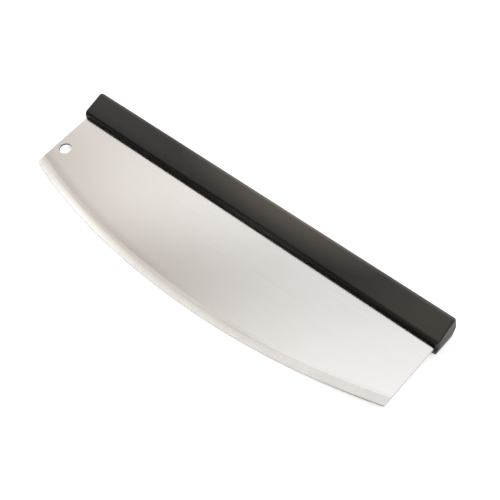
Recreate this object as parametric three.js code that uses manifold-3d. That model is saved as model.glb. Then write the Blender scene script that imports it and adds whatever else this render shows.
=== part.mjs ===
// Rocker pizza cutter: a wide blade with a curved edge under one long bar handle.
// Millimetres, +Z up. The cutter lies on its cutting edge and on the back edge of its handle.
// Until it is laid down, X runs along the handle, Y from the cutting edge to the handle's back,
// and the plane Z = 0 is the middle of the blade. Y = 0 is the front of the handle.

import * as THREE from 'three';
import { mergeVertices } from 'three/addons/utils/BufferGeometryUtils.js';
import Module from 'manifold-3d';

// Blade: one plate with a circular cutting edge; its ends lean in from the handle to the edge
const BLADE_LENGTH = 354;
const BLADE_DEPTH = 84.9;
const BLADE_THICKNESS = 1.6;
const END_TAPER_DEGREES = 1.2;
const EDGE_ARC_RADIUS = 598;
const EDGE_CORNER_RADIUS = 1.5;

// Grinding, the same on both sides: a wide bevel, and a narrow steeper one that sharpens its edge
const BEVEL_WIDTH = 9;
const CUTTING_BEVEL_WIDTH = 1.4;
const CUTTING_BEVEL_THICKNESS = 0.85;
const EDGE_THICKNESS = 0.2;
// The wide bevel's circle has its centre this far to the left, so it is wider at the right end
const BEVEL_SKEW = 4.5;

// Round hole that the cutter hangs on, measured from the blade's corner at the handle
const HANGING_HOLE_DIAMETER = 10.5;
const HANGING_HOLE_FROM_END = 10;
const HANGING_HOLE_FROM_HANDLE = 34.6;

// Tang: the back of the plate, inside the handle
const TANG_DEPTH = 15;
const TANG_SHOULDER = 5;
const TANG_CORNER_RADIUS = 2;

// Handle: two equal moulded halves, thicker at the back than at the blade
const HANDLE_OVERHANG = 2.4;
const HANDLE_WIDTH = 24.3;
const HALF_HEIGHT_FRONT = 6.9;
const HALF_HEIGHT_BACK = 13;
const DRAFT_DEGREES = 4.4;
const FRONT_RADIUS = 3;
const BACK_RADIUS = 3.3;
const CORNER_RADIUS = 2.4;
const END_RADIUS = 1;

// Rebate round the parting line, which makes the seam between the halves a shadow line
const REBATE_DEPTH = 0.8;
const REBATE_HEIGHT = 0.25;

// Inside of a handle half: pockets between bosses and thin ribs
const HANDLE_WALL = 2.5;
const HANDLE_END_WALL = 4;
const RIB_THICKNESS = 2;
const POCKET_RADIUS = 1;

// Dowel pins through the tang, in blind bosses of both halves
const PIN_COUNT = 5;
const PIN_DIAMETER = 5;
const PIN_CHAMFER = 0.5;
const PIN_FROM_FRONT = 8;
const PIN_FROM_TANG_END = 28;
const PIN_ROOF = 2.4;
const BOSS_WALL = 2.5;

// Clearances
const PARTING_GAP = 0.3;
const TANG_GAP = 0.3;
const PIN_GAP = 0.3;

// Finishes: satin steel, matte moulded plastic and bright pin steel
const BLADE_FINISH = { color: 0xd6d2cc, roughness: 0.34, metalness: 1 };
const HANDLE_FINISH = { color: 0x2c2a28, roughness: 0.6, metalness: 0 };
const PIN_FINISH = { color: 0xb4b4b2, roughness: 0.3, metalness: 1 };

// How finely round forms are divided
const EDGE_ARC_STEPS = 48;
const HOLE_STEPS = 32;
const PIN_STEPS = 20;
const ROUNDING_STEPS = 8;
const CORNER_STEPS = 6;
const GRINDING_STEPS = 480;

// Cuts start this far outside the material that they go through
const CUT_OVERRUN = 2;

// Places worked out from the sizes above
const endTaper = THREE.MathUtils.degToRad(END_TAPER_DEGREES);
const draft = THREE.MathUtils.degToRad(DRAFT_DEGREES);
const edgeArcCentre = EDGE_ARC_RADIUS - BLADE_DEPTH;
const handleHalfLength = BLADE_LENGTH / 2 + HANDLE_OVERHANG;
const tangHalfLength = BLADE_LENGTH / 2 - TANG_SHOULDER;
const faceSlope = (HALF_HEIGHT_BACK - HALF_HEIGHT_FRONT) / HANDLE_WIDTH;
const faceStretch = Math.hypot(1, faceSlope);
const faceHeight = (y) => HALF_HEIGHT_FRONT + faceSlope * y;
const pinHalfLength = faceHeight(PIN_FROM_FRONT) - PIN_ROOF - PIN_GAP;
const pinPitch = 2 * (tangHalfLength - PIN_FROM_TANG_END) / (PIN_COUNT - 1);
const pinStations = Array.from({ length: PIN_COUNT }, (_, i) => pinPitch * (i - (PIN_COUNT - 1) / 2));

const wasm = await Module();
wasm.setup();

// A closed geometry as a solid that can be joined and cut
function toSolid(geometry) {
  const bare = new THREE.BufferGeometry();
  bare.setAttribute('position', geometry.getAttribute('position'));
  bare.setIndex(geometry.getIndex());
  const merged = mergeVertices(bare);
  const corners = merged.getIndex().array;
  const triangles = [];
  for (let i = 0; i < corners.length; i += 3) {
    const [a, b, c] = corners.slice(i, i + 3);
    const collapsed = a === b || b === c || c === a;
    if (!collapsed) triangles.push(a, b, c);
  }
  return new wasm.Manifold(new wasm.Mesh({
    numProp: 3,
    vertProperties: new Float32Array(merged.getAttribute('position').array),
    triVerts: new Uint32Array(triangles),
  }));
}

function toGeometry(solid) {
  const mesh = solid.getMesh();
  const geometry = new THREE.BufferGeometry();
  geometry.setAttribute('position', new THREE.BufferAttribute(mesh.vertProperties, 3));
  geometry.setIndex(new THREE.BufferAttribute(mesh.triVerts, 1));
  geometry.computeVertexNormals();
  return geometry;
}

// Points on a circular arc, both ends included
function arcPoints(x, y, radius, from, to, steps) {
  const clockwise = to < from;
  return new THREE.EllipseCurve(x, y, radius, radius, from, to, clockwise).getPoints(steps);
}

function circlePath(x, y, radius, steps) {
  return new THREE.Path(arcPoints(x, y, radius, 0, 2 * Math.PI, steps).slice(0, -1));
}

// A shape drawn in the YZ plane and extruded along X
function extrudeAlongX(shape, fromX, toX) {
  const geometry = new THREE.ExtrudeGeometry(shape, { depth: toX - fromX, bevelEnabled: false });
  const axes = new THREE.Matrix4().makeBasis(
    new THREE.Vector3(0, 1, 0),
    new THREE.Vector3(0, 0, 1),
    new THREE.Vector3(1, 0, 0),
  );
  geometry.applyMatrix4(axes);
  geometry.translate(fromX, 0, 0);
  return geometry;
}

// A skin over rings of equally many points, closed by a flat cap at each end
function loft(rings) {
  const count = rings[0].length;
  const positions = rings.flat().flatMap((point) => point.toArray());
  const index = [];
  for (let i = 0; i + 1 < rings.length; i += 1) {
    for (let j = 0; j < count; j += 1) {
      const next = (j + 1) % count;
      const a = i * count + j;
      const b = a + count;
      const c = (i + 1) * count + next;
      const d = i * count + next;
      index.push(a, b, c, a, c, d);
    }
  }
  const last = (rings.length - 1) * count;
  for (let j = 1; j + 1 < count; j += 1) {
    index.push(0, j, j + 1);
    index.push(last, last + j + 1, last + j);
  }
  const geometry = new THREE.BufferGeometry();
  geometry.setAttribute('position', new THREE.Float32BufferAttribute(positions, 3));
  geometry.setIndex(index);
  return geometry;
}

// Centre of the rounding where the blade's right end meets the cutting edge
function edgeCorner() {
  const reach = EDGE_ARC_RADIUS - EDGE_CORNER_RADIUS;
  const lean = Math.tan(endTaper);
  const endX = BLADE_LENGTH / 2 - EDGE_CORNER_RADIUS / Math.cos(endTaper);
  const a = 1 + lean ** 2;
  const b = edgeArcCentre - endX * lean;
  const c = endX ** 2 + edgeArcCentre ** 2 - reach ** 2;
  const y = (b - Math.sqrt(b ** 2 - a * c)) / a;
  return new THREE.Vector2(endX + lean * y, y);
}

// Outline of the plate: leaning ends, a circular cutting edge, rounded corners, and the tang
function bladeOutline() {
  const corner = edgeCorner();
  const edgeEnd = Math.atan2(corner.y - edgeArcCentre, corner.x);
  const edgeStart = -Math.PI - edgeEnd;
  const shoulderX = BLADE_LENGTH / 2 - Math.tan(endTaper) * TANG_GAP;
  const tangCornerX = tangHalfLength - TANG_CORNER_RADIUS;
  const tangCornerY = TANG_DEPTH - TANG_CORNER_RADIUS;
  const points = [
    ...arcPoints(-corner.x, corner.y, EDGE_CORNER_RADIUS, endTaper - Math.PI, edgeStart, CORNER_STEPS),
    ...arcPoints(0, edgeArcCentre, EDGE_ARC_RADIUS, edgeStart, edgeEnd, EDGE_ARC_STEPS).slice(1, -1),
    ...arcPoints(corner.x, corner.y, EDGE_CORNER_RADIUS, edgeEnd, -endTaper, CORNER_STEPS),
    new THREE.Vector2(shoulderX, -TANG_GAP),
    new THREE.Vector2(tangHalfLength, -TANG_GAP),
    ...arcPoints(tangCornerX, tangCornerY, TANG_CORNER_RADIUS, 0, Math.PI / 2, CORNER_STEPS),
    ...arcPoints(-tangCornerX, tangCornerY, TANG_CORNER_RADIUS, Math.PI / 2, Math.PI, CORNER_STEPS),
    new THREE.Vector2(-tangHalfLength, -TANG_GAP),
    new THREE.Vector2(-shoulderX, -TANG_GAP),
  ];
  return new THREE.Shape(points);
}

// Two flat cones base to base: what the plate keeps when both sides are ground at a slope
// that leaves a thickness at a radius
function grindingCones(slope, thickness, radius, centreX) {
  const rim = radius + thickness / 2 / slope;
  const apex = rim * slope;
  const profile = [new THREE.Vector2(0, -apex), new THREE.Vector2(rim, 0), new THREE.Vector2(0, apex)];
  const cones = new THREE.LatheGeometry(profile, GRINDING_STEPS);
  cones.rotateX(Math.PI / 2);
  cones.translate(centreX, edgeArcCentre, 0);
  return cones;
}

function wideBevelCones() {
  const width = BEVEL_WIDTH - CUTTING_BEVEL_WIDTH;
  const slope = (BLADE_THICKNESS - CUTTING_BEVEL_THICKNESS) / 2 / width;
  const radius = EDGE_ARC_RADIUS - CUTTING_BEVEL_WIDTH;
  return grindingCones(slope, CUTTING_BEVEL_THICKNESS, radius, -BEVEL_SKEW);
}

function cuttingBevelCones() {
  const slope = (CUTTING_BEVEL_THICKNESS - EDGE_THICKNESS) / 2 / CUTTING_BEVEL_WIDTH;
  return grindingCones(slope, EDGE_THICKNESS, EDGE_ARC_RADIUS, 0);
}

function bladeGeometry() {
  const outline = bladeOutline();
  const holeX = -BLADE_LENGTH / 2 + HANGING_HOLE_FROM_END;
  outline.holes.push(circlePath(holeX, -HANGING_HOLE_FROM_HANDLE, HANGING_HOLE_DIAMETER / 2, HOLE_STEPS));
  for (const x of pinStations) {
    outline.holes.push(circlePath(x, PIN_FROM_FRONT, PIN_DIAMETER / 2 + PIN_GAP, PIN_STEPS));
  }
  const plate = new THREE.ExtrudeGeometry(outline, { depth: BLADE_THICKNESS, bevelEnabled: false });
  plate.translate(0, 0, -BLADE_THICKNESS / 2);
  const ground = toSolid(plate).intersect(toSolid(wideBevelCones()));
  return toGeometry(ground.intersect(toSolid(cuttingBevelCones())));
}

// Corner of the handle's section, at its front or its back, moved in from every wall
function sectionCorner(atFront, inset) {
  const top = HALF_HEIGHT_FRONT - inset * faceStretch;
  const lean = Math.tan(draft);
  const shift = inset / Math.cos(draft);
  if (atFront) {
    const z = (top + faceSlope * shift) / (1 - faceSlope * lean);
    return new THREE.Vector2(shift + lean * z, z);
  }
  const z = (top + faceSlope * (HANDLE_WIDTH - shift)) / (1 + faceSlope * lean);
  return new THREE.Vector2(HANDLE_WIDTH - shift - lean * z, z);
}

// Section of a handle half from its front foot over the sloped face to its back foot,
// as points (y, z) with the direction that each one faces
function sectionPoints(inset, frontRadius, backRadius, foot) {
  const faceAngle = Math.PI / 2 + Math.atan(faceSlope);
  const rounding = (atFront, radius, from, to) => {
    const centre = sectionCorner(atFront, inset + radius);
    return Array.from({ length: ROUNDING_STEPS + 1 }, (_, i) => {
      const angle = THREE.MathUtils.lerp(from, to, i / ROUNDING_STEPS);
      const facing = new THREE.Vector2(Math.cos(angle), Math.sin(angle));
      return { place: centre.clone().addScaledVector(facing, radius), facing };
    });
  };
  const shift = inset / Math.cos(draft) + Math.tan(draft) * foot;
  return [
    { place: new THREE.Vector2(shift, foot), facing: new THREE.Vector2(-1, 0) },
    ...rounding(true, frontRadius, Math.PI - draft, faceAngle),
    ...rounding(false, backRadius, faceAngle, draft),
    { place: new THREE.Vector2(HANDLE_WIDTH - shift, foot), facing: new THREE.Vector2(1, 0) },
  ];
}

// Outside of a handle half: its section along X, drawn in round the rounded edges of both ends
function handleSkin() {
  const section = sectionPoints(0, FRONT_RADIUS, BACK_RADIUS, PARTING_GAP / 2);
  const endRing = (side, turn) => section.map(({ place, facing }) => {
    const radius = CORNER_RADIUS * facing.x ** 2 + END_RADIUS * facing.y ** 2;
    const drawnIn = 1 - Math.cos(turn);
    const x = handleHalfLength - Math.tan(draft) * place.y - radius * (1 - Math.sin(turn));
    const y = place.x - CORNER_RADIUS * drawnIn * facing.x;
    const z = place.y - END_RADIUS * drawnIn * facing.y;
    return new THREE.Vector3(side * x, y, z);
  });
  const turns = Array.from({ length: CORNER_STEPS + 1 }, (_, i) => (i / CORNER_STEPS) * Math.PI / 2);
  const leftEnd = turns.map((turn) => endRing(-1, turn)).reverse();
  const rightEnd = turns.map((turn) => endRing(1, turn));
  return loft([...leftEnd, ...rightEnd]);
}

// Stretches along X that stay solid inside a handle half: a boss at each pin and a rib between bosses
function solidStretches() {
  const boss = PIN_DIAMETER / 2 + PIN_GAP + BOSS_WALL;
  const bosses = pinStations.map((x) => [x - boss, x + boss]);
  const ribs = pinStations.slice(1).map((x) => {
    const middle = x - pinPitch / 2;
    return [middle - RIB_THICKNESS / 2, middle + RIB_THICKNESS / 2];
  });
  return [...bosses, ...ribs].sort((a, b) => a[0] - b[0]);
}

function pocketGeometries() {
  const section = sectionPoints(HANDLE_WALL, POCKET_RADIUS, POCKET_RADIUS, -CUT_OVERRUN);
  const shape = new THREE.Shape(section.map(({ place }) => place).reverse());
  const end = handleHalfLength - HANDLE_END_WALL;
  const stretches = solidStretches();
  const starts = [-end, ...stretches.map(([, to]) => to)];
  const stops = [...stretches.map(([from]) => from), end];
  return starts.map((start, i) => extrudeAlongX(shape, start, stops[i]));
}

function tangRecess() {
  const depth = TANG_DEPTH + TANG_GAP + CUT_OVERRUN;
  const recess = new THREE.BoxGeometry(
    2 * (tangHalfLength + TANG_GAP),
    depth,
    BLADE_THICKNESS + 2 * TANG_GAP,
  );
  recess.translate(0, depth / 2 - CUT_OVERRUN, 0);
  return recess;
}

// All that lies outside the rebated outline of the parting face, as high as the rebate
function partingRebate() {
  const halfLength = handleHalfLength - REBATE_DEPTH;
  const radius = CORNER_RADIUS - REBATE_DEPTH;
  const corners = [
    [halfLength - radius, HANDLE_WIDTH - REBATE_DEPTH - radius, 0],
    [radius - halfLength, HANDLE_WIDTH - REBATE_DEPTH - radius, Math.PI / 2],
    [radius - halfLength, REBATE_DEPTH + radius, Math.PI],
    [halfLength - radius, REBATE_DEPTH + radius, 1.5 * Math.PI],
  ];
  const outline = corners.flatMap(([x, y, from]) => (
    arcPoints(x, y, radius, from, from + Math.PI / 2, CORNER_STEPS)
  ));
  const outerX = handleHalfLength + CUT_OVERRUN;
  const surround = new THREE.Shape([
    new THREE.Vector2(-outerX, -CUT_OVERRUN),
    new THREE.Vector2(outerX, -CUT_OVERRUN),
    new THREE.Vector2(outerX, HANDLE_WIDTH + CUT_OVERRUN),
    new THREE.Vector2(-outerX, HANDLE_WIDTH + CUT_OVERRUN),
  ]);
  surround.holes.push(new THREE.Path(outline));
  const height = PARTING_GAP / 2 + REBATE_HEIGHT;
  return new THREE.ExtrudeGeometry(surround, { depth: height, bevelEnabled: false });
}

function pinHole(x) {
  const radius = PIN_DIAMETER / 2 + PIN_GAP;
  const length = 2 * (pinHalfLength + PIN_GAP);
  const hole = new THREE.CylinderGeometry(radius, radius, length, PIN_STEPS);
  hole.rotateX(Math.PI / 2);
  hole.translate(x, PIN_FROM_FRONT, 0);
  return hole;
}

function handleHalfGeometry() {
  const cuts = [partingRebate(), tangRecess(), ...pocketGeometries(), ...pinStations.map(pinHole)];
  let half = toSolid(handleSkin());
  for (const cut of cuts) {
    half = half.subtract(toSolid(cut));
  }
  return toGeometry(half);
}

function pinGeometry() {
  const radius = PIN_DIAMETER / 2;
  const profile = [
    new THREE.Vector2(0, -pinHalfLength),
    new THREE.Vector2(radius - PIN_CHAMFER, -pinHalfLength),
    new THREE.Vector2(radius, -pinHalfLength + PIN_CHAMFER),
    new THREE.Vector2(radius, pinHalfLength - PIN_CHAMFER),
    new THREE.Vector2(radius - PIN_CHAMFER, pinHalfLength),
    new THREE.Vector2(0, pinHalfLength),
  ];
  const pin = new THREE.LatheGeometry(profile, PIN_STEPS);
  pin.rotateX(Math.PI / 2);
  return toGeometry(toSolid(pin));
}

function makePiece(name, geometry, finish) {
  const mesh = new THREE.Mesh(geometry, new THREE.MeshStandardMaterial(finish));
  mesh.name = name;
  return mesh;
}

// Angle that lays the cutter down: the line under the blade's front and the lowest part of the handle
function layingAngle(halfGeometry) {
  const bladeFeet = [
    new THREE.Vector2(-BLADE_DEPTH, -EDGE_THICKNESS / 2),
    new THREE.Vector2(CUTTING_BEVEL_WIDTH - BLADE_DEPTH, -CUTTING_BEVEL_THICKNESS / 2),
  ];
  const places = halfGeometry.getAttribute('position');
  const angles = bladeFeet.map((foot) => {
    let steepest = 0;
    for (let i = 0; i < places.count; i += 1) {
      const below = foot.y + places.getZ(i);
      steepest = Math.max(steepest, Math.atan2(below, places.getY(i) - foot.x));
    }
    return steepest;
  });
  return Math.min(...angles);
}

const halfGeometry = handleHalfGeometry();

const blade = makePiece('blade', bladeGeometry(), BLADE_FINISH);
const upperHalf = makePiece('handle_upper_half', halfGeometry, HANDLE_FINISH);
const lowerHalf = makePiece('handle_lower_half', halfGeometry.clone(), HANDLE_FINISH);
lowerHalf.rotation.y = Math.PI;

const pins = pinStations.map((x, i) => {
  const pin = makePiece(`pin_${i + 1}`, pinGeometry(), PIN_FINISH);
  pin.position.set(x, PIN_FROM_FRONT, 0);
  return pin;
});

const cutter = new THREE.Group();
cutter.add(blade, upperHalf, lowerHalf, ...pins);
cutter.rotation.x = layingAngle(halfGeometry);

// The origin is on the table, under the middle of the laid cutter
const pizzaCutter = new THREE.Group();
pizzaCutter.add(cutter);
const box = new THREE.Box3().setFromObject(pizzaCutter, true);
const middle = box.getCenter(new THREE.Vector3());
cutter.position.set(-middle.x, -middle.y, -box.min.z);
pizzaCutter.updateMatrixWorld(true);

export default pizzaCutter;
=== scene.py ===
"""Rocker pizza cutter: a satin steel blade in a moulded charcoal handle, lying on a pale floor."""

from math import atan2, cos, pi, radians, sin, sqrt, tan

import bmesh
import bpy
from mathutils import Matrix, Vector


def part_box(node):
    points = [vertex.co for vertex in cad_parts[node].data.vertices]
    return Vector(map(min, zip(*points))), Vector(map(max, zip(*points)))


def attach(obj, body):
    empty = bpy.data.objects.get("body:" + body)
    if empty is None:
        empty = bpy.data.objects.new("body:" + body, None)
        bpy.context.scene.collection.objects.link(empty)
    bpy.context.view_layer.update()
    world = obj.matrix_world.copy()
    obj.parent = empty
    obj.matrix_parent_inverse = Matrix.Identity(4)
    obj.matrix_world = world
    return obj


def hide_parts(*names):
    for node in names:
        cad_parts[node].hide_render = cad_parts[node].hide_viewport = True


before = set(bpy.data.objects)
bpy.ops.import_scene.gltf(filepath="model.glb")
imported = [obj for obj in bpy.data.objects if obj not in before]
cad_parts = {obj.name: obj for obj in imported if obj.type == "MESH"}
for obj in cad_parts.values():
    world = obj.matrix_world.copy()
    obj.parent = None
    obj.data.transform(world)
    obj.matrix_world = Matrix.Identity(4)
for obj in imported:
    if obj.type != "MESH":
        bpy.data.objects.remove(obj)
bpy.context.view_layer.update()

MM = 0.001

# Blade: the sizes of its CAD solid, and the small chamfer that breaks its edges
BLADE_LENGTH = 354 * MM
BLADE_DEPTH = 84.9 * MM
BLADE_THICKNESS = 1.6 * MM
END_TAPER = radians(1.2)
EDGE_ARC_RADIUS = 598 * MM
EDGE_CORNER_RADIUS = 1.5 * MM
EDGE_BREAK = 0.1 * MM
HANGING_HOLE_RADIUS = 5.25 * MM
HANGING_HOLE_FROM_END = 10 * MM
HANGING_HOLE_FROM_HANDLE = 34.6 * MM
TANG_DEPTH = 15 * MM
TANG_SHOULDER = 5 * MM
TANG_CORNER_RADIUS = 2 * MM
TANG_GAP = 0.3 * MM
PIN_FROM_FRONT = 8 * MM
PIN_HOLE_RADIUS = 2.8 * MM
PIN_NODES = [name for name in sorted(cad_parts) if name.startswith("pin_")]

# Grinding: a wide bevel that starts with a gentle shoulder, and a narrow cutting bevel
BEVEL_WIDTH = 9 * MM
BEVEL_SKEW = 4.5 * MM
SHOULDER_WIDTH = 2.5 * MM
SHOULDER_DROP = 0.02 * MM
CUTTING_BEVEL_WIDTH = 1.4 * MM
CUTTING_BEVEL_THICKNESS = 0.85 * MM
EDGE_THICKNESS = 0.2 * MM
ARC_CENTRE = Vector((0, EDGE_ARC_RADIUS - BLADE_DEPTH))
BEVEL_CENTRE = ARC_CENTRE - Vector((BEVEL_SKEW, 0))
BEVEL_RADIUS = EDGE_ARC_RADIUS - BEVEL_WIDTH
SHOULDER_RADIUS = BEVEL_RADIUS + SHOULDER_WIDTH
WIDE_BEVEL_DROP = (BLADE_THICKNESS - CUTTING_BEVEL_THICKNESS) / 2 - SHOULDER_DROP
WIDE_BEVEL_SLOPE = WIDE_BEVEL_DROP / (BEVEL_WIDTH - SHOULDER_WIDTH - CUTTING_BEVEL_WIDTH)
CUTTING_BEVEL_SLOPE = (CUTTING_BEVEL_THICKNESS - EDGE_THICKNESS) / 2 / CUTTING_BEVEL_WIDTH

# Blade: its materials, in the order of its mesh's slots
FLAT, HONED, GROUND, SHOULDER, SHEARED, PUNCHED = range(6)

# Handle: its front stands out over a foot that is rounded in to the blade; the edge above it is softer than
# the solid's, and the edge below it is sharper
HANDLE_HALF_LENGTH = 179.4 * MM
HANDLE_WALL = 2.45 * MM
FRONT_EDGE = Vector((0.54, 7.04)) * MM
FRONT_EDGE_NEAR, FRONT_EDGE_FAR = 2.6 * MM, 5 * MM
TOP_SKIN_FROM = FRONT_EDGE.y - 1 * MM
UPPER_ROUNDING, LOWER_ROUNDING = 1.33, 0.4
UPPER_SHIFT, LOWER_SHIFT = Vector((-0.4, -0.8)) * MM, Vector((-1.6, 0.3)) * MM
FOOT_FROM, FOOT_TO = 1.1 * MM, 3.3 * MM
FOOT_STEPS = 6

# Handle: how high its seam is, which is painted dark as shade, and its materials, in the order of its
# meshes' slots
SEAM_HALF_HEIGHT = 0.41 * MM
MOULDED, SEAM = range(2)

# How finely the blade's round forms are divided, and what is welded, flat or sharp
EDGE_STEPS = 160
CORNER_STEPS = 8
HOLE_STEPS = 64
WELD_DISTANCE = 0.001 * MM
FLAT_ANGLE = radians(0.2)
SHARP_ANGLE = radians(32)

# Textures: noise cells in a metre, along X, Y and Z where they are stretched
HAIRLINES = (14, 3200, 14)
BANDS = (4, 420, 4)
STEEL_CLOUDS = 22
STREAKS = (340, 35, 35)
PATCHES = (70, 20, 20)
STREAK_TURN = radians(12)
CUTS = (900, 900, 60)
TEARS = (1800, 1800, 300)
RINGS = (300, 300, 3000)
GRAIN = 1400
GRAIN_ROUGHNESS = 0.6
SPECKS = 420
MARKS = (35, 55, 55)
SEAM_SHADE_NOISE = 900

# Textures: the limits that noise mostly stays in, and shares of the first where two noises are added
NOISE_SPAN = (0.3, 0.7)
MIXED_NOISE_SPAN = (0.35, 0.65)
BAND_SHARE = 0.5
STREAK_SHARE = 0.6
MARK_SHARE = 0.7

# Textures: strength and height of the relief
HAIRLINE_RELIEF = (0.05, 0.01 * MM)
STREAK_RELIEF = (0.06, 0.02 * MM)
TEAR_RELIEF = (0.3, 0.05 * MM)
GRAIN_RELIEF = (0.25, 0.05 * MM)

# Steel: the dark and pale tones of each finish, its roughness, and the painted shade and painted highlight
# that darken or brighten it
FLAT_TONES = (0.83, 0.82, 0.81, 1), (0.85, 0.845, 0.835, 1)
FLAT_ROUGHNESS = (0.15, 0.18)
FLAT_PAINTED_SHADE = (0.74, 0.725, 0.715, 1)
FLAT_ANISOTROPY = 0.3
SHOULDER_ROUGHNESS = (0.24, 0.28)
# The shoulder's painted shade, darker everywhere left of its right part
SHOULDER_PAINTED_SHADE = (0.73, 0.715, 0.7, 1)
BEVEL_TONES = (0.71, 0.695, 0.675, 1), (0.8, 0.79, 0.775, 1)
BEVEL_ROUGHNESS = (0.22, 0.3)
BEVEL_PAINTED_SHADE = (0.61, 0.59, 0.565, 1)
BEVEL_PAINTED_HIGHLIGHT = (0.93, 0.915, 0.89, 1)
BEVEL_HIGHLIGHT_SHARE = 0.6
BEVEL_END_SHADE = (0.67, 0.655, 0.64, 1)
BEVEL_ANISOTROPY = 0.85
SHEARED_HIGHLIGHT_TONES = (0.92, 0.94, 0.955, 1), (0.97, 0.98, 0.99, 1)
SHEARED_ROUGHNESS = (0.3, 0.4)
PUNCHED_SHADE_TONES = (0.1, 0.075, 0.05, 1), (0.2, 0.165, 0.125, 1)
PUNCHED_ROUGHNESS = (0.45, 0.6)
PIN_TONES = (0.52, 0.52, 0.51, 1), (0.62, 0.62, 0.61, 1)
PIN_ROUGHNESS = (0.22, 0.34)

# Grinding: distances in from the edge, and places along X, between which its painted shade and painted
# highlight change
BEVEL_SHADE_DEPTHS = (2.5 * MM, 6.5 * MM)
FLAT_SHADE_FADES = (9 * MM, 17 * MM)
HIGHLIGHT_LEFT = (-100 * MM, -30 * MM)
END_SHADE_PLACES = (-175 * MM, -115 * MM)
FLAT_RIGHT = (-60 * MM, 40 * MM)
BRIGHT_RIGHT = (50 * MM, 110 * MM)

# Grinding: how far the cutting bevel is rounded over to the flat, and where and how much less to the right
HONED_LEAN = 0.7
STEEP_RIGHT = (105 * MM, 165 * MM)
STEEP_SHARE = 0.2

# Plastic: its tones, roughness and index of refraction
PLASTIC_TONES = (0.0125, 0.012, 0.0102, 1), (0.0265, 0.025, 0.021, 1)
PLASTIC_ROUGHNESS = (0.38, 0.46)
PLASTIC_IOR = 1.5
# The seam's near-black tones, high roughness and low index of refraction are painted shade inside the seam
SEAM_SHADE_TONES = (0.004, 0.0035, 0.003, 1), (0.012, 0.0105, 0.009, 1)
SEAM_ROUGHNESS = (0.8, 0.95)
SEAM_IOR = 1.2

# Plastic: a paler tone, partly wear and partly painted highlight and reflection, and how much of it shows to
# the back, on top of the right end, and in ovals, each with its centre and reach, that hands have rubbed and
# that are partly painted highlight
WEAR_AND_SHEEN_TONE = (0.255, 0.22, 0.188, 1)
WEAR_AND_SHEEN_BACK = (2 * MM, 11 * MM)
WEAR_AND_SHEEN_BACK_SHARE = 0.135
WEAR_AND_SHEEN_END = (60 * MM, 170 * MM)
WEAR_AND_SHEEN_END_SHARE = 0.38
WEAR_AND_SHEEN_TOP = (5 * MM, 7 * MM)
RUBBED_AND_SHEEN_OVALS = [
    (Vector((20, 22, 12)) * MM, Vector((150, 24, 40)) * MM, 0.85),
    # This oval is a painted reflection on the middle of the front
    (Vector((15, 0, 4)) * MM, Vector((85, 4, 5)) * MM, 0.5),
]

# Floor: its half size in metres, its tone, and how bright it is where the sky over it is open
FLOOR_HALF_SIZE = 4.0
FLOOR_TONE = (0.8, 0.795, 0.785, 1)
FLOOR_GLOW = 0.8
FLOOR_MIRRORED_SHARE = 0.75
FLOOR_OPENNESS = (0.25, 0.45)

# Floor: how far the shadow under the cutter reaches, and where the light that fills it leans to
SHADOW_REACH = 15 * MM
FILL_LEAN = (0.1, -0.3, 0)

# Studio: tones of its lights and walls, from left to right where there are two
LAMP_TONES = (1.22, 1.155, 1.1, 1), (1.165, 1.16, 1.15, 1)
GAP_TONES = (0.09, 0.03, 0, 1), (0.615, 0.605, 0.59, 1)
LEFT_WALL_TONE = (1.65, 1.635, 1.6, 1)
DIM_TONE = (0.03, 0.03, 0.03, 1)
WHITE = (1, 1, 1, 1)

# Studio: how far a direction points away from the camera where its lights and walls start or end
OVERHEAD_ENDS = (0.31, 0.52)
STRIP_STARTS, STRIP_ENDS = (0.48, 0.51), (0.5, 0.7)
BACK_WALL_STARTS = (0.567, 0.617)
BACK_WALL_SHARE = 0.85
LEFT_WALL_STARTS = (0.34, 0.44)
DIM_ENDS = (-0.12, 0.12)

# Studio: how far a direction points to the right, or last to the cutter's back, where they change
LAMP_CHANGES = (-0.3, 0)
GAP_CHANGES = (-0.25, -0.05)
STRIP_FROM = (-0.4, -0.225)
LEFT_WALL_TO = (-0.42, -0.32)
DIM_FRONT_ENDS = (-0.38, -0.08)

# Camera: the photograph's view, as a point on the floor that it looks at and angles in degrees
IMAGE_SIZE = 500
FOCAL_PIXELS = 969
CAMERA_TARGET = Vector((16.44, 17.77, 0)) * MM
CAMERA_DISTANCE = 746.1 * MM
CAMERA_AZIMUTH = 40.88
CAMERA_ELEVATION = 51.37
CAMERA_ROLL = -0.13
SENSOR_WIDTH = 36
CLIP_START, CLIP_END = 0.01, 20

# Sockets of a mix node's colours, whose names it uses more than once
MIX_FACTOR, MIX_FIRST, MIX_SECOND, MIX_RESULT = 0, 6, 7, 2

X_AXIS, Y_AXIS, Z_AXIS = Vector((1, 0, 0)), Vector((0, 1, 0)), Vector((0, 0, 1))


def tool_frame():
    """The cutter's own frame, from the middle of the handle's front.

    X goes along the handle, Y to its back, and Z square to the blade.
    """
    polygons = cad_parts["blade"].data.polygons
    flat = max((p for p in polygons if p.normal.z > 0), key=lambda p: p.area)
    turn = Matrix.Rotation(atan2(-flat.normal.y, flat.normal.z), 4, "X")
    low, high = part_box(PIN_NODES[len(PIN_NODES) // 2])
    origin = (low + high) / 2 - turn @ Vector((0, PIN_FROM_FRONT, 0))
    return Matrix.Translation(origin) @ turn


TOOL = tool_frame()


def add_object(name, data, matrix=Matrix.Identity(4)):
    piece = bpy.data.objects.new(name, data)
    piece.matrix_world = matrix
    bpy.context.scene.collection.objects.link(piece)
    return piece


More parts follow.
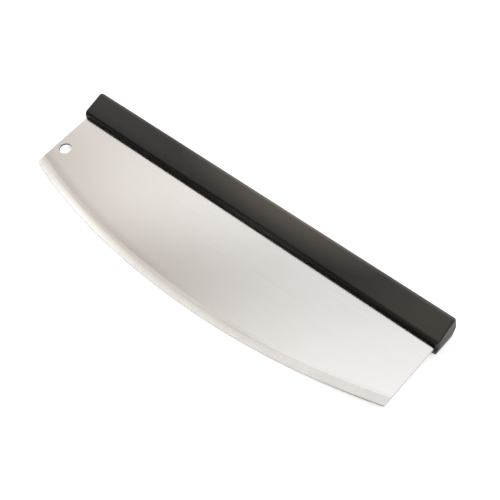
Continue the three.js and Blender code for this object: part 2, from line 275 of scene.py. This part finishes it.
class Nodes:
    """Adds nodes to a node tree: inputs are sockets to link or values to set."""

    def __init__(self, tree):
        self.tree = tree
        tree.nodes.clear()

    def add(self, kind, inputs=None, **settings):
        node = self.tree.nodes.new(kind)
        for name, value in settings.items():
            setattr(node, name, value)
        for name, value in (inputs or {}).items():
            if isinstance(value, bpy.types.NodeSocket):
                self.tree.links.new(value, node.inputs[name])
            else:
                node.inputs[name].default_value = value
        return node

    def place(self):
        """Where a point lies in its object's own frame."""
        return self.add("ShaderNodeTexCoord").outputs["Object"]

    def normal(self):
        return self.add("ShaderNodeNewGeometry").outputs["Normal"]

    def math(self, operation, first, second=0.0):
        return self.add("ShaderNodeMath", {0: first, 1: second}, operation=operation).outputs[0]

    def times(self, first, second):
        return self.math("MULTIPLY", first, second)

    def most(self, first, second):
        return self.math("MAXIMUM", first, second)

    def shared(self, first, share, second):
        """The sum of a share of the first value and the rest of the second."""
        return self.math("ADD", self.times(first, share), self.times(second, 1 - share))

    def dot(self, vector, axis):
        node = self.add("ShaderNodeVectorMath", {0: vector, 1: axis}, operation="DOT_PRODUCT")
        return node.outputs["Value"]

    def leaned(self, direction, lean):
        """The direction, turned by adding a lean to it."""
        added = self.add("ShaderNodeVectorMath", {0: direction, 1: lean}, operation="ADD").outputs[0]
        return self.add("ShaderNodeVectorMath", {0: added}, operation="NORMALIZE").outputs[0]

    def noise(self, vector, scale=1.0, detail=2.0, roughness=0.5):
        inputs = {"Vector": vector, "Scale": scale, "Detail": detail, "Roughness": roughness}
        return self.add("ShaderNodeTexNoise", inputs).outputs["Fac"]

    def stretched(self, vector, scale, turn=0.0):
        """The vector, scaled along each axis after a turn about Z."""
        inputs = {"Vector": vector, "Rotation": (0, 0, turn), "Scale": scale}
        return self.add("ShaderNodeMapping", inputs).outputs["Vector"]

    def ranged(self, value, low, high, to_low, to_high, smooth=False):
        inputs = {"Value": value, "From Min": low, "From Max": high, "To Min": to_low, "To Max": to_high}
        kind = "SMOOTHSTEP" if smooth else "LINEAR"
        return self.add("ShaderNodeMapRange", inputs, interpolation_type=kind).outputs["Result"]

    def rise(self, value, low, high, most=1):
        """From 0 below the limits softly up to the most above them."""
        return self.ranged(value, low, high, 0, most, True)

    def fall(self, value, low, high, most=1):
        """From the most below the limits softly down to 0 above them."""
        return self.ranged(value, low, high, most, 0, True)

    def mixed(self, factor, first, second):
        inputs = {MIX_FACTOR: factor, MIX_FIRST: first, MIX_SECOND: second}
        return self.add("ShaderNodeMix", inputs, data_type="RGBA").outputs[MIX_RESULT]

    def bump(self, height, strength, distance, normal=None):
        inputs = {"Height": height, "Strength": strength, "Distance": distance}
        if normal is not None:
            inputs["Normal"] = normal
        return self.add("ShaderNodeBump", inputs).outputs["Normal"]

    def tangent(self, uv_map):
        return self.add("ShaderNodeTangent", direction_type="UV_MAP", uv_map=uv_map).outputs[0]

    def surface(self, shader):
        self.add("ShaderNodeOutputMaterial", {"Surface": shader})


def new_material(name):
    material = bpy.data.materials.new(name)
    material.use_nodes = True
    return material, Nodes(material.node_tree)


def depth_from_edge(nodes, place):
    """How far a point of the blade lies in from the cutting edge."""
    inputs = {0: place, 1: ARC_CENTRE.to_3d()}
    reach = nodes.add("ShaderNodeVectorMath", inputs, operation="DISTANCE").outputs["Value"]
    return nodes.math("SUBTRACT", EDGE_ARC_RADIUS, reach)


def rounded_normal(nodes, share):
    """The blade's normal, leaned by a share to its flat face on the same side."""
    normal = nodes.normal()
    flat = TOOL.to_3x3() @ Z_AXIS
    side = nodes.times(nodes.math("SIGN", nodes.dot(normal, flat)), share)
    lean = nodes.add("ShaderNodeVectorMath", {0: flat, "Scale": side}, operation="SCALE").outputs[0]
    return nodes.leaned(normal, lean)


def brushed_steel(name, roughness, painted_shade, right):
    """Satin steel with fine lines along the handle, with painted shade near the grinding up to its right
    end.
    """
    material, nodes = new_material(name)
    place = nodes.place()
    hairlines = nodes.noise(nodes.stretched(place, HAIRLINES), detail=3)
    bands = nodes.noise(nodes.stretched(place, BANDS))
    tone = nodes.shared(bands, BAND_SHARE, nodes.noise(place, STEEL_CLOUDS))
    colour = nodes.mixed(nodes.ranged(tone, *MIXED_NOISE_SPAN, 0, 1), *FLAT_TONES)
    # Painted shade: the flat is darker near the bevel, fading inwards and to the right
    ground = nodes.fall(depth_from_edge(nodes, place), *FLAT_SHADE_FADES)
    left = nodes.fall(nodes.dot(place, X_AXIS), *right)
    shader = nodes.add("ShaderNodeBsdfPrincipled", {
        "Base Color": nodes.mixed(nodes.times(ground, left), colour, painted_shade),
        "Metallic": 1.0,
        "Roughness": nodes.ranged(hairlines, *NOISE_SPAN, *roughness),
        "Anisotropic": FLAT_ANISOTROPY,
        "Tangent": nodes.tangent("across_brushing"),
        "Normal": nodes.bump(hairlines, *HAIRLINE_RELIEF),
    })
    nodes.surface(shader.outputs[0])
    return material


def ground_steel(name, lean):
    """A bevel's steel, with streaks of the grinding across the edge.

    Painted shade makes it darker away from the edge and at its left end, and a painted highlight makes it
    paler to the left. Where the grinding rounds it over, its normal leans to the blade's flat face.
    """
    material, nodes = new_material(name)
    place = nodes.place()
    streaks = nodes.noise(nodes.stretched(place, STREAKS, STREAK_TURN), detail=3)
    patches = nodes.noise(nodes.stretched(place, PATCHES, STREAK_TURN))
    tone = nodes.shared(streaks, STREAK_SHARE, patches)
    colour = nodes.mixed(nodes.ranged(tone, *MIXED_NOISE_SPAN, 0, 1), *BEVEL_TONES)
    along = nodes.dot(place, X_AXIS)
    # Painted highlight: the bevel is paler to the left
    colour = nodes.mixed(nodes.fall(along, *HIGHLIGHT_LEFT, BEVEL_HIGHLIGHT_SHARE), colour, BEVEL_PAINTED_HIGHLIGHT)
    # Painted shade: the bevel is darker at its far left end
    colour = nodes.mixed(nodes.fall(along, *END_SHADE_PLACES), colour, BEVEL_END_SHADE)
    # Painted shade: darker away from the edge, left of the right part
    upper = nodes.ranged(depth_from_edge(nodes, place), *BEVEL_SHADE_DEPTHS, 0, 1)
    left = nodes.fall(along, *BRIGHT_RIGHT)
    leaning = nodes.ranged(along, *STEEP_RIGHT, lean, lean * STEEP_SHARE, True)
    shader = nodes.add("ShaderNodeBsdfPrincipled", {
        "Base Color": nodes.mixed(nodes.times(upper, left), colour, BEVEL_PAINTED_SHADE),
        "Metallic": 1.0,
        "Roughness": nodes.ranged(streaks, *NOISE_SPAN, *BEVEL_ROUGHNESS),
        "Anisotropic": BEVEL_ANISOTROPY,
        "Tangent": nodes.tangent("along_edge"),
        "Normal": nodes.bump(streaks, *STREAK_RELIEF, rounded_normal(nodes, leaning)),
    })
    nodes.surface(shader.outputs[0])
    return material


def sheared_steel():
    """The cut steel of the blade's outline, near white and bluish as a painted highlight."""
    material, nodes = new_material("sheared_steel")
    cuts = nodes.noise(nodes.stretched(nodes.place(), CUTS))
    shader = nodes.add("ShaderNodeBsdfPrincipled", {
        # The cut steel, with a painted highlight in its near-white bluish tones
        "Base Color": nodes.mixed(cuts, *SHEARED_HIGHLIGHT_TONES),
        "Metallic": 1.0,
        "Roughness": nodes.ranged(cuts, *NOISE_SPAN, *SHEARED_ROUGHNESS),
    })
    nodes.surface(shader.outputs[0])
    return material


def punched_steel():
    """The torn steel inside a punched hole, painted dark brown as the shade inside it."""
    material, nodes = new_material("punched_steel")
    tears = nodes.noise(nodes.stretched(nodes.place(), TEARS), detail=3)
    shader = nodes.add("ShaderNodeBsdfPrincipled", {
        # Painted shade: dark brown tones inside the hole
        "Base Color": nodes.mixed(tears, *PUNCHED_SHADE_TONES),
        "Metallic": 1.0,
        "Roughness": nodes.ranged(tears, *NOISE_SPAN, *PUNCHED_ROUGHNESS),
        "Normal": nodes.bump(tears, *TEAR_RELIEF),
    })
    nodes.surface(shader.outputs[0])
    return material


def pin_steel():
    """Plain ground steel of the dowel pins."""
    material, nodes = new_material("pin_steel")
    rings = nodes.noise(nodes.stretched(nodes.place(), RINGS))
    shader = nodes.add("ShaderNodeBsdfPrincipled", {
        "Base Color": nodes.mixed(rings, *PIN_TONES),
        "Metallic": 1.0,
        "Roughness": nodes.ranged(rings, *NOISE_SPAN, *PIN_ROUGHNESS),
    })
    nodes.surface(shader.outputs[0])
    return material


def wear_and_sheen(nodes, place):
    """How much of the handle's paler tone, partly wear and partly painted highlight and reflection, shows at
    a place.
    """
    back = nodes.rise(nodes.dot(place, Y_AXIS), *WEAR_AND_SHEEN_BACK, WEAR_AND_SHEEN_BACK_SHARE)
    end = nodes.rise(nodes.dot(place, X_AXIS), *WEAR_AND_SHEEN_END, WEAR_AND_SHEEN_END_SHARE)
    top = nodes.rise(nodes.math("ABSOLUTE", nodes.dot(place, Z_AXIS)), *WEAR_AND_SHEEN_TOP)
    paler = nodes.most(back, nodes.times(end, top))
    for centre, reach, most in RUBBED_AND_SHEEN_OVALS:
        inputs = {"Vector": place, "Location": centre, "Scale": reach}
        oval = nodes.add("ShaderNodeMapping", inputs, vector_type="TEXTURE").outputs["Vector"]
        ball = nodes.add("ShaderNodeTexGradient", {"Vector": oval}, gradient_type="SPHERICAL")
        paler = nodes.most(paler, nodes.rise(ball.outputs["Fac"], 0, 1, most))
    return paler


def moulded_plastic():
    """Matte charcoal plastic with a fine moulded grain, cloudy handling marks, and paler patches that are
    partly wear and partly painted highlight and reflection.
    """
    material, nodes = new_material("moulded_plastic")
    place = nodes.place()
    grain = nodes.noise(place, GRAIN, 3, GRAIN_ROUGHNESS)
    marks = nodes.noise(nodes.stretched(place, MARKS), detail=3)
    tone = nodes.shared(marks, MARK_SHARE, nodes.noise(place, SPECKS))
    moulded = nodes.mixed(nodes.ranged(tone, *MIXED_NOISE_SPAN, 0, 1), *PLASTIC_TONES)
    shader = nodes.add("ShaderNodeBsdfPrincipled", {
        # The paler tone here is partly wear and partly painted highlight and reflection
        "Base Color": nodes.mixed(wear_and_sheen(nodes, place), moulded, WEAR_AND_SHEEN_TONE),
        "Roughness": nodes.ranged(tone, *MIXED_NOISE_SPAN, *PLASTIC_ROUGHNESS),
        "IOR": PLASTIC_IOR,
        "Normal": nodes.bump(grain, *GRAIN_RELIEF),
    })
    nodes.surface(shader.outputs[0])
    return material


def painted_seam_shade():
    """The same plastic, painted near black as the shade inside the seam between the handle's halves."""
    material, nodes = new_material("painted_seam_shade")
    shade_noise = nodes.noise(nodes.place(), SEAM_SHADE_NOISE, 3)
    shader = nodes.add("ShaderNodeBsdfPrincipled", {
        # Painted shade: near-black tones inside the seam
        "Base Color": nodes.mixed(shade_noise, *SEAM_SHADE_TONES),
        "Roughness": nodes.ranged(shade_noise, *NOISE_SPAN, *SEAM_ROUGHNESS),
        "IOR": SEAM_IOR,
    })
    nodes.surface(shader.outputs[0])
    return material


def arc(x, y, radius, start, stop, steps):
    """Points of a circle from one angle to another."""
    angles = [start + (stop - start) * i / steps for i in range(steps + 1)]
    return [Vector((x + radius * cos(a), y + radius * sin(a))) for a in angles]


def half_height(point):
    """Half the blade's thickness: the plate's, less what each bevel takes off."""
    past_line = (point - BEVEL_CENTRE).length - BEVEL_RADIUS
    shoulder = SHOULDER_DROP * min(max(past_line / SHOULDER_WIDTH, 0), 1)
    wide = BLADE_THICKNESS / 2 - shoulder - WIDE_BEVEL_SLOPE * max(past_line - SHOULDER_WIDTH, 0)
    from_edge = EDGE_ARC_RADIUS - (point - ARC_CENTRE).length
    return min(wide, EDGE_THICKNESS / 2 + CUTTING_BEVEL_SLOPE * from_edge)


def bevel_line(x):
    """Y of the line where the bevel's shoulder leaves the flat face."""
    return BEVEL_CENTRE.y - sqrt(BEVEL_RADIUS ** 2 - (x - BEVEL_CENTRE.x) ** 2)


def shoulder_line(x):
    """Y of the line where the shoulder turns into the wide bevel."""
    return BEVEL_CENTRE.y - sqrt(SHOULDER_RADIUS ** 2 - (x - BEVEL_CENTRE.x) ** 2)


def cutting_line(x):
    """Y of the line where the wide bevel meets the cutting bevel, which the skew makes wider or narrower."""
    skew = BEVEL_SKEW * x / EDGE_ARC_RADIUS
    width = CUTTING_BEVEL_WIDTH - skew * WIDE_BEVEL_SLOPE / (CUTTING_BEVEL_SLOPE - WIDE_BEVEL_SLOPE)
    return ARC_CENTRE.y - sqrt((EDGE_ARC_RADIUS - width) ** 2 - x ** 2)


def end_x(y, inset):
    """X of the blade's leaning right end."""
    return BLADE_LENGTH / 2 + y * tan(END_TAPER) - inset / cos(END_TAPER)


def end_point(line, side, inset):
    """Where one of the bevel's lines meets the blade's left or right end, closer at each try."""
    x = BLADE_LENGTH / 2
    for _ in range(4):
        x = end_x(line(side * x), inset)
    return Vector((side * x, line(side * x)))


def edge_corner():
    """Centre of the rounding where the blade's right end meets the cutting edge."""
    lean = tan(END_TAPER)
    foot = end_x(0, EDGE_CORNER_RADIUS)
    a = 1 + lean ** 2
    b = ARC_CENTRE.y - foot * lean
    c = foot ** 2 + ARC_CENTRE.y ** 2 - (EDGE_ARC_RADIUS - EDGE_CORNER_RADIUS) ** 2
    y = (b - sqrt(b ** 2 - a * c)) / a
    return Vector((foot + lean * y, y))


def edge_chain(inset):
    """Outline from the left end of the bevel line round the cutting edge to its right end."""
    corner = edge_corner()
    right = atan2(corner.y - ARC_CENTRE.y, corner.x)
    left = -pi - right
    radius = EDGE_CORNER_RADIUS - inset
    left_end = [end_point(line, -1, inset) for line in (bevel_line, shoulder_line)]
    left_corner = arc(-corner.x, corner.y, radius, END_TAPER - pi, left, CORNER_STEPS)
    edge = arc(0, ARC_CENTRE.y, EDGE_ARC_RADIUS - inset, left, right, EDGE_STEPS)
    right_corner = arc(corner.x, corner.y, radius, right, -END_TAPER, CORNER_STEPS)
    right_end = [end_point(line, 1, inset) for line in (shoulder_line, bevel_line)]
    return [*left_end, *left_corner, *edge[1:-1], *right_corner, *right_end]


def back_chain(inset):
    """Outline from above the right end of the bevel line round the tang to above its left end."""
    tang = BLADE_LENGTH / 2 - TANG_SHOULDER
    shoulder = -TANG_GAP - inset
    half = end_x(shoulder, inset)
    corner_x = tang - TANG_CORNER_RADIUS
    corner_y = TANG_DEPTH - TANG_CORNER_RADIUS
    corner = TANG_CORNER_RADIUS - inset
    return [
        Vector((half, shoulder)),
        Vector((tang - inset, shoulder)),
        *arc(corner_x, corner_y, corner, 0, pi / 2, CORNER_STEPS),
        *arc(-corner_x, corner_y, corner, pi / 2, pi, CORNER_STEPS),
        Vector((inset - tang, shoulder)),
        Vector((-half, shoulder)),
    ]


def hole_ring(x, y, radius):
    """Points round a hole, the other way from the outline's."""
    return arc(x, y, radius, 2 * pi, 0, HOLE_STEPS)[:-1]


def blade_mesh():
    """The blade's upper side with broken edges, mirrored in the plate's middle plane."""
    grid = bmesh.new()

    def ring(points, heights):
        return [grid.verts.new((p.x, p.y, h)) for p, h in zip(points, heights)]

    def wall(lower, upper, smooth=False):
        count = len(lower)
        faces = []
        for i in range(count):
            j = (i + 1) % count
            faces.append(grid.faces.new((lower[i], lower[j], upper[j], upper[i])))
            faces[-1].smooth = smooth
        return faces

    def broken_edge(outer, inner, smooth, material):
        """Rings up the outline's wall and over its chamfer; the last one borders the upper face."""
        tops = [half_height(p) for p in inner]
        foot = ring(outer, [0.0] * len(outer))
        brow = ring(outer, [max(half_height(p) - EDGE_BREAK, EDGE_BREAK / 2) for p in outer])
        crest = ring(inner, tops)
        for face in wall(foot, brow, smooth):
            face.material_index = material
        wall(brow, crest)
        return crest

    outline = broken_edge(
        edge_chain(0) + back_chain(0),
        edge_chain(EDGE_BREAK) + back_chain(EDGE_BREAK),
        False,
        SHEARED,
    )
    edge_count = len(edge_chain(0))
    edge, back = outline[:edge_count], outline[edge_count:]

    # The bevels: rows of faces from the cutting edge up to the bevel line, which run out at the ends
    rows = [edge]
    for line in (cutting_line, shoulder_line, bevel_line):
        row = []
        for below in rows[-1]:
            place = Vector((below.co.x, line(below.co.x)))
            rises = place.y > below.co.y + WELD_DISTANCE
            row.append(grid.verts.new((*place, half_height(place))) if rises else below)
        rows.append(row)
    for lower, upper, material in zip(rows, rows[1:], (HONED, GROUND, SHOULDER)):
        for i in range(edge_count - 1):
            corners = list(dict.fromkeys((lower[i], lower[i + 1], upper[i + 1], upper[i])))
            if len(corners) > 2:
                face = grid.faces.new(corners)
                face.material_index = material
                face.smooth = True
    for row in rows[1:-1]:
        for start, stop in zip(row, row[1:]):
            grid.edges.get((start, stop)).smooth = False
    line = rows[-1]

    # The flat face: inside the bevel line and the back, round the holes
    hole_x = HANGING_HOLE_FROM_END - BLADE_LENGTH / 2
    holes = [(hole_x, -HANGING_HOLE_FROM_HANDLE, HANGING_HOLE_RADIUS)]
    for name in PIN_NODES:
        low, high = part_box(name)
        centre = TOOL.inverted() @ ((low + high) / 2)
        holes.append((centre.x, centre.y, PIN_HOLE_RADIUS))
    rims = []
    for x, y, radius in holes:
        rim = hole_ring(x, y, radius + EDGE_BREAK)
        rims.append(broken_edge(hole_ring(x, y, radius), rim, True, PUNCHED))
    border = []
    for loop in [line + back, *rims]:
        for i, vertex in enumerate(loop):
            border.append(grid.edges.get((vertex, loop[(i + 1) % len(loop)])))
    for edge_of_flat in border:
        edge_of_flat.smooth = False
    bmesh.ops.triangle_fill(grid, use_beauty=True, use_dissolve=False, edges=border, normal=Z_AXIS)

    # The lower side, and a map for each way that the steel is worked
    upper = grid.verts[:] + grid.edges[:] + grid.faces[:]
    lower = bmesh.ops.duplicate(grid, geom=upper)["geom"]
    for vertex in (e for e in lower if isinstance(e, bmesh.types.BMVert)):
        vertex.co.z = -vertex.co.z
    bmesh.ops.reverse_faces(grid, faces=[e for e in lower if isinstance(e, bmesh.types.BMFace)])
    bmesh.ops.remove_doubles(grid, verts=grid.verts, dist=WELD_DISTANCE)
    for axis, name in ((1, "across_brushing"), (0, "along_edge")):
        layer = grid.loops.layers.uv.new(name)
        for face in grid.faces:
            for loop in face.loops:
                place = loop.vert.co
                loop[layer].uv = (place[axis] / BLADE_LENGTH, place[1 - axis] / BLADE_LENGTH)

    mesh = bpy.data.meshes.new("blade")
    grid.to_mesh(mesh)
    grid.free()
    return mesh


def make_blade():
    """The blade, with its materials in the order of FLAT to PUNCHED."""
    mesh = blade_mesh()
    mesh.materials.append(brushed_steel("brushed_steel", FLAT_ROUGHNESS, FLAT_PAINTED_SHADE, FLAT_RIGHT))
    mesh.materials.append(ground_steel("honed_steel", HONED_LEAN))
    mesh.materials.append(ground_steel("ground_steel", 0.0))
    mesh.materials.append(brushed_steel("shoulder_steel", SHOULDER_ROUGHNESS, SHOULDER_PAINTED_SHADE, BRIGHT_RIGHT))
    mesh.materials.append(sheared_steel())
    mesh.materials.append(punched_steel())
    piece = add_object("rocker_blade", mesh, TOOL)
    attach(piece, "root")
    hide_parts("blade")


def eased(value, low, high):
    """From 0 below the limits softly up to 1 above them."""
    part = min(max((value - low) / (high - low), 0), 1)
    return part * part * (3 - 2 * part)


def shaped_front(place, rounding, shift):
    """A point of the handle's front, with its edge's radius scaled, moved out over the foot."""
    point = Vector((place.y, abs(place.z)))
    from_edge = point - FRONT_EDGE
    near = 1 - eased(from_edge.length, FRONT_EDGE_NEAR, FRONT_EDGE_FAR)
    point += from_edge * (rounding - 1) * near
    above_foot = min(max((point.y - FOOT_FROM) / (FOOT_TO - FOOT_FROM), 0), 1)
    point += shift * sin(pi / 2 * above_foot)
    return Vector((place.x, point.x, point.y if place.z > 0 else -point.y))


def shape_front(form, rounding, shift):
    """Cuts the front's wall into strips above its foot and gives its skin the real form."""
    for step in range(FOOT_STEPS + 1):
        level = FOOT_FROM + (FOOT_TO - FOOT_FROM) * step / FOOT_STEPS
        for side in (-1, 1):
            skin = [f for f in form.faces if max(v.co.y for v in f.verts) < HANDLE_WALL]
            edges = dict.fromkeys(e for f in skin for e in f.edges)
            verts = dict.fromkeys(v for f in skin for v in f.verts)
            cut = [*verts, *edges, *skin]
            plane = {"plane_co": (0, 0, side * level), "plane_no": Z_AXIS}
            bmesh.ops.bisect_plane(form, geom=cut, dist=WELD_DISTANCE, **plane)
    end = HANDLE_HALF_LENGTH - HANDLE_WALL
    for vertex in form.verts:
        x, y, z = vertex.co
        on_skin = y < HANDLE_WALL or abs(z) > TOP_SKIN_FROM or abs(x) > end
        if on_skin and y < FRONT_EDGE_FAR:
            vertex.co = shaped_front(vertex.co, rounding, shift)


def make_handle_half(node, rounding, shift, materials):
    """The CAD half's form with its front shaped, welded and shaded smooth over its rounded edges."""
    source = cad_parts[node].data
    mesh = bpy.data.meshes.new(node)
    corners = [TOOL.inverted() @ v.co for v in source.vertices]
    mesh.from_pydata(corners, [], [tuple(p.vertices) for p in source.polygons])
    form = bmesh.new()
    form.from_mesh(mesh)
    bmesh.ops.remove_doubles(form, verts=form.verts, dist=WELD_DISTANCE)
    shape_front(form, rounding, shift)
    bmesh.ops.dissolve_limit(form, angle_limit=FLAT_ANGLE, verts=form.verts, edges=form.edges)
    for face in form.faces:
        face.smooth = True
        # The seam's faces get the near-black plastic that paints the shade inside the seam
        in_seam = max(abs(v.co.z) for v in face.verts) < SEAM_HALF_HEIGHT
        face.material_index = SEAM if in_seam else MOULDED
    form.to_mesh(mesh)
    form.free()
    mesh.set_sharp_from_angle(angle=SHARP_ANGLE)
    for material in materials:
        mesh.materials.append(material)
    piece = add_object(node + "_moulding", mesh, TOOL)
    weighted = piece.modifiers.new("flat faces stay flat", "WEIGHTED_NORMAL")
    weighted.keep_sharp = True
    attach(piece, "root")
    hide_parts(node)


def make_handle():
    """Both halves of the handle, with their materials in the order of MOULDED and SEAM."""
    plastics = [moulded_plastic(), painted_seam_shade()]
    make_handle_half("handle_upper_half", UPPER_ROUNDING, UPPER_SHIFT, plastics)
    make_handle_half("handle_lower_half", LOWER_ROUNDING, LOWER_SHIFT, plastics)


def dress_pins():
    """Gives the CAD pins their steel."""
    material = pin_steel()
    for name in PIN_NODES:
        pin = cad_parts[name]
        pin.data.materials.clear()
        pin.data.materials.append(material)


def make_floor():
    """A pale floor that the camera sees as white, apart from the cutter's shadow."""
    mesh = bpy.data.meshes.new("floor")
    half = FLOOR_HALF_SIZE
    corners = [(-half, -half, 0), (half, -half, 0), (half, half, 0), (-half, half, 0)]
    mesh.from_pydata(corners, [], [(0, 1, 2, 3)])
    material, nodes = new_material("pale_floor")
    matte = nodes.add("ShaderNodeBsdfDiffuse", {"Color": FLOOR_TONE})
    path = nodes.add("ShaderNodeLightPath").outputs
    seen = nodes.most(path["Is Camera Ray"], nodes.times(path["Is Glossy Ray"], FLOOR_MIRRORED_SHARE))
    seen = nodes.most(seen, path["Is Transmission Ray"])
    inputs = {"Distance": SHADOW_REACH, "Normal": nodes.leaned(nodes.normal(), FILL_LEAN)}
    openness = nodes.add("ShaderNodeAmbientOcclusion", inputs).outputs["AO"]
    strength = nodes.times(seen, nodes.ranged(openness, *FLOOR_OPENNESS, 0, FLOOR_GLOW))
    glow = nodes.add("ShaderNodeEmission", {"Strength": strength})
    both = nodes.add("ShaderNodeAddShader", {0: matte.outputs[0], 1: glow.outputs[0]})
    nodes.surface(both.outputs[0])
    mesh.materials.append(material)
    add_object("floor", mesh)


def make_world():
    """A white studio: an overhead light and a back wall with a warm, darker gap between them.

    Directions are measured away from the camera and to its right, both level. The studio is bright at the
    left, and dim behind the camera and in front of the cutter. The camera itself sees white.
    """
    world = bpy.data.worlds.new("studio")
    bpy.context.scene.world = world
    world.use_nodes = True
    nodes = Nodes(world.node_tree)
    direction = nodes.add("ShaderNodeTexCoord").outputs["Generated"]
    azimuth = radians(CAMERA_AZIMUTH)
    away = nodes.dot(direction, (-sin(azimuth), cos(azimuth), 0))
    right = nodes.dot(direction, (cos(azimuth), sin(azimuth), 0))
    overhead = nodes.fall(away, *OVERHEAD_ENDS)
    strip = nodes.times(nodes.rise(away, *STRIP_STARTS), nodes.fall(away, *STRIP_ENDS))
    back_strip = nodes.times(strip, nodes.rise(right, *STRIP_FROM))
    back_wall = nodes.rise(away, *BACK_WALL_STARTS, BACK_WALL_SHARE)
    lights = nodes.most(overhead, nodes.most(back_strip, back_wall))
    gap = nodes.mixed(nodes.ranged(right, *GAP_CHANGES, 0, 1), *GAP_TONES)
    lamp = nodes.mixed(nodes.ranged(right, *LAMP_CHANGES, 0, 1), *LAMP_TONES)
    left_wall = nodes.times(nodes.fall(right, *LEFT_WALL_TO), nodes.rise(away, *LEFT_WALL_STARTS))
    lit = nodes.mixed(left_wall, nodes.mixed(lights, gap, lamp), LEFT_WALL_TONE)
    behind_cutter = nodes.rise(nodes.dot(direction, Y_AXIS), *DIM_FRONT_ENDS)
    bright = nodes.times(nodes.rise(away, *DIM_ENDS), behind_cutter)
    studio = nodes.mixed(bright, DIM_TONE, lit)
    seen = nodes.add("ShaderNodeLightPath").outputs["Is Camera Ray"]
    inputs = {"Color": nodes.mixed(seen, studio, WHITE), "Strength": 1.0}
    background = nodes.add("ShaderNodeBackground", inputs)
    nodes.add("ShaderNodeOutputWorld", {"Surface": background.outputs[0]})


def make_camera():
    """The photograph's camera."""
    azimuth, elevation = radians(CAMERA_AZIMUTH), radians(CAMERA_ELEVATION)
    back = Vector((sin(azimuth) * cos(elevation), -cos(azimuth) * cos(elevation), sin(elevation)))
    data = bpy.data.cameras.new("camera")
    data.sensor_width = SENSOR_WIDTH
    data.lens = SENSOR_WIDTH * FOCAL_PIXELS / IMAGE_SIZE
    data.clip_start = CLIP_START
    data.clip_end = CLIP_END
    camera = add_object("camera", data)
    camera.location = CAMERA_TARGET + back * CAMERA_DISTANCE
    camera.rotation_mode = "QUATERNION"
    roll = Matrix.Rotation(radians(CAMERA_ROLL), 3, "Z").to_quaternion()
    camera.rotation_quaternion = (-back).to_track_quat("-Z", "Y") @ roll
    bpy.context.scene.camera = camera


make_camera()
make_world()
make_floor()
make_blade()
make_handle()
dress_pins()
bpy.context.scene.view_settings.view_transform = "Standard"
